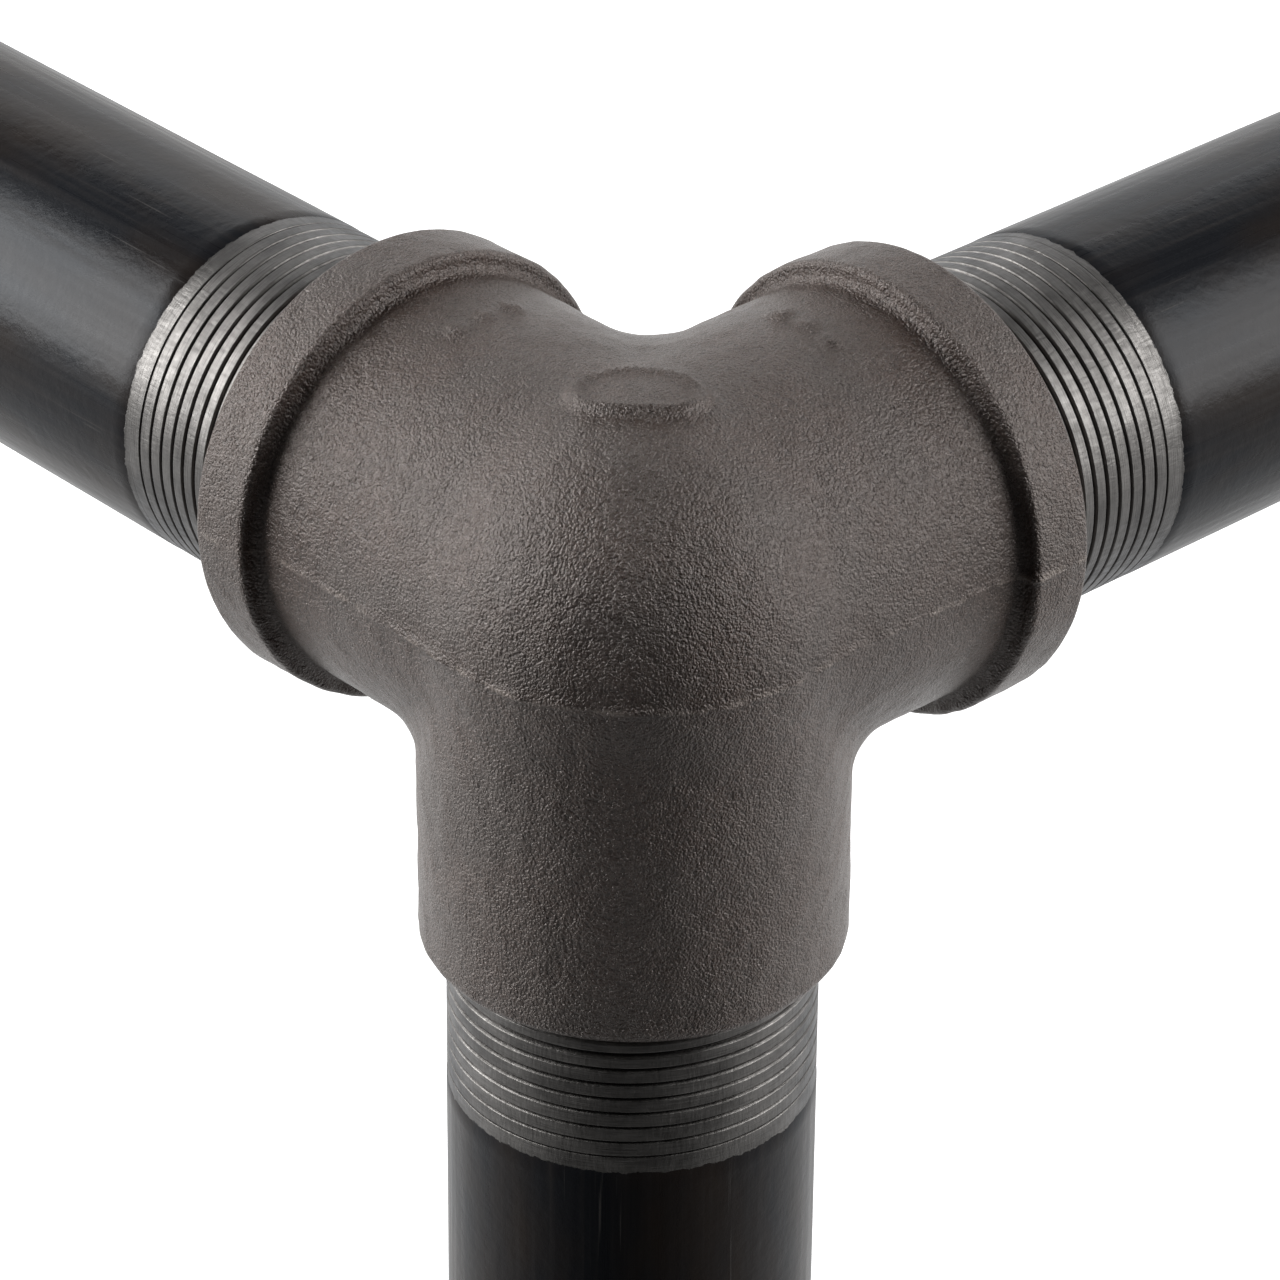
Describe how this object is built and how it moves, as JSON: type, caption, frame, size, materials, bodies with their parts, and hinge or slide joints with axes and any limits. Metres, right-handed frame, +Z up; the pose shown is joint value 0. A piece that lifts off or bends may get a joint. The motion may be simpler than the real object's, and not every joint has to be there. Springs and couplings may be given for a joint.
{
  "type": "side outlet elbow",
  "caption": "Malleable iron side-outlet elbow: three screwed mouths square to each other, each with a threaded black steel pipe nipple.",
  "frame": {"origin": "where the axes of the three mouths meet", "axes": "+X out of the right arm's mouth, +Y out of the left arm's mouth, -Z out of the side outlet, +Z up"},
  "size_m": [0.2218, 0.2218, 0.2218],
  "materials": {
    "cast_body": "sand-cast skin under a thin black oil finish",
    "black_pipe": "black lacquered steel pipe, threads cut bare",
    "compound": "set pipe compound, matt"
  },
  "bodies": {
    "elbow": {"side_outlet_elbow": "cast_body"},
    "right_bead": {"right_compound_bead": "compound"},
    "right_pipe": {"right_pipe": "black_pipe"},
    "left_bead": {"left_compound_bead": "compound"},
    "left_pipe": {"left_pipe": "black_pipe"},
    "drop_bead": {"drop_compound_bead": "compound"},
    "drop_pipe": {"drop_pipe": "black_pipe"}
  },
  "joints": [
    {"name": "right_pipe_advance", "type": "slide", "parent": "elbow", "child": "right_bead", "axis": [1, 0, 0], "range_m": [0, 0.01105]},
    {"name": "right_pipe_turn", "type": "hinge", "parent": "right_bead", "child": "right_pipe", "pos_m": [0.11483, 0, 0], "axis": [1, 0, 0], "range_deg": [0, 1800]},
    {"name": "left_pipe_advance", "type": "slide", "parent": "elbow", "child": "left_bead", "axis": [0, 1, 0], "range_m": [0, 0.01105]},
    {"name": "left_pipe_turn", "type": "hinge", "parent": "left_bead", "child": "left_pipe", "pos_m": [0, 0.11483, 0], "axis": [0, 1, 0], "range_deg": [0, 1800]},
    {"name": "drop_pipe_advance", "type": "slide", "parent": "elbow", "child": "drop_bead", "axis": [0, 0, -1], "range_m": [0, 0.01105]},
    {"name": "drop_pipe_turn", "type": "hinge", "parent": "drop_bead", "child": "drop_pipe", "pos_m": [0, 0, -0.11483], "axis": [0, 0, -1], "range_deg": [0, 1800]}
  ],
  "couplings": [
    {"joint": "right_pipe_advance", "follows": "right_pipe_turn", "m_per_rad": 0.00035152},
    {"joint": "left_pipe_advance", "follows": "left_pipe_turn", "m_per_rad": 0.00035152},
    {"joint": "drop_pipe_advance", "follows": "drop_pipe_turn", "m_per_rad": 0.00035152}
  ]
}
